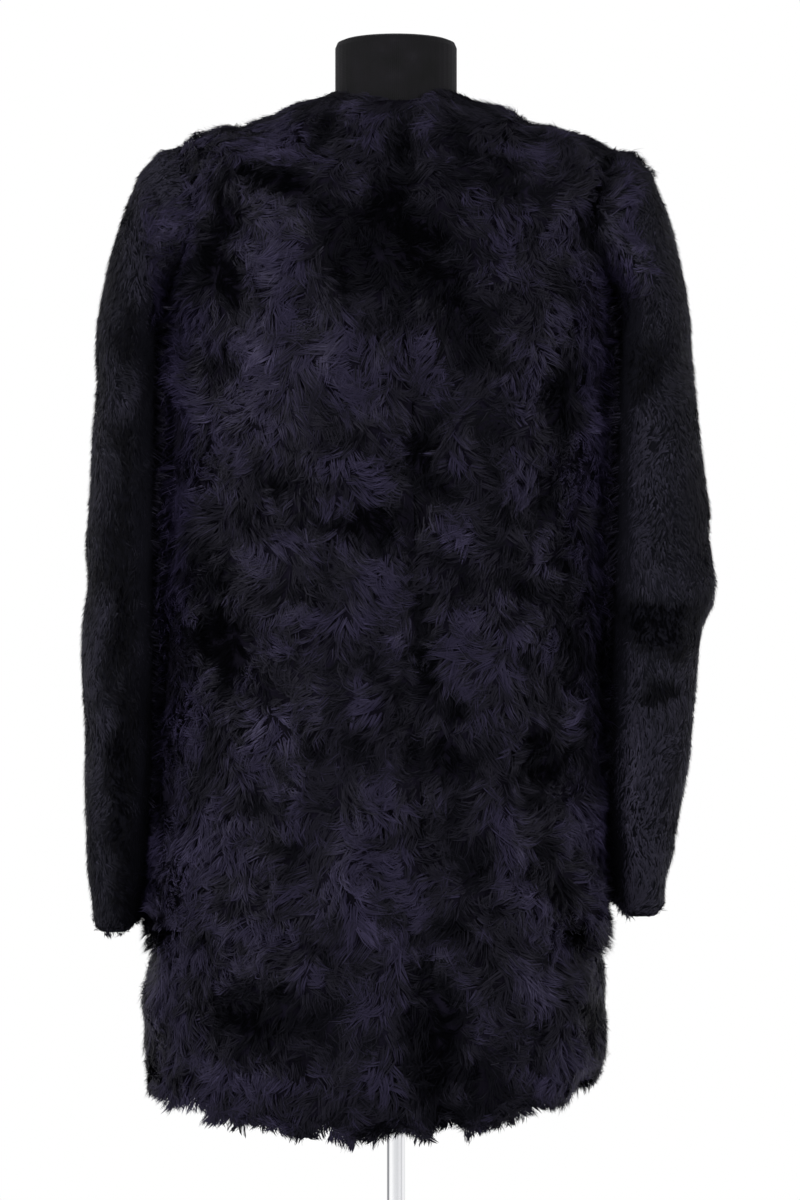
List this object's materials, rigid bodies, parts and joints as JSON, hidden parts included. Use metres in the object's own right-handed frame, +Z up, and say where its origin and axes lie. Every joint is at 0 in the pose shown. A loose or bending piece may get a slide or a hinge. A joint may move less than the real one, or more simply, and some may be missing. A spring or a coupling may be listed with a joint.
{
  "type": "fur coat on dress form",
  "caption": "Collared long-sleeved coat of dark curly fur, hung on a limbless dress form with a pole and a round foot.",
  "frame": {"origin": "middle of the round foot's underside, on the floor, below the pole", "axes": "+Z up along the pole; -Y is the way the coat's back faces, +Y its front opening; +X is the wearer's right"},
  "size_m": [0.5598, 0.32, 1.523],
  "materials": {
    "long_fur": "matte",
    "band_fur": "matte",
    "short_fur": "matte",
    "black_jersey": "matte",
    "polished_chrome": "polished",
    "brushed_steel": "satin"
  },
  "bodies": {
    "root": {"back_left": "long_fur", "back_right": "long_fur", "front_left": "long_fur", "front_right": "long_fur", "back_hem_left": "band_fur", "back_hem_right": "band_fur", "front_hem_left": "band_fur", "front_hem_right": "band_fur", "collar": "long_fur", "sleeve_left": "short_fur", "sleeve_right": "short_fur", "form_torso": "black_jersey", "form_pole": "polished_chrome", "base_socket": "brushed_steel", "base_plate": "brushed_steel"}
  },
  "joints": []
}
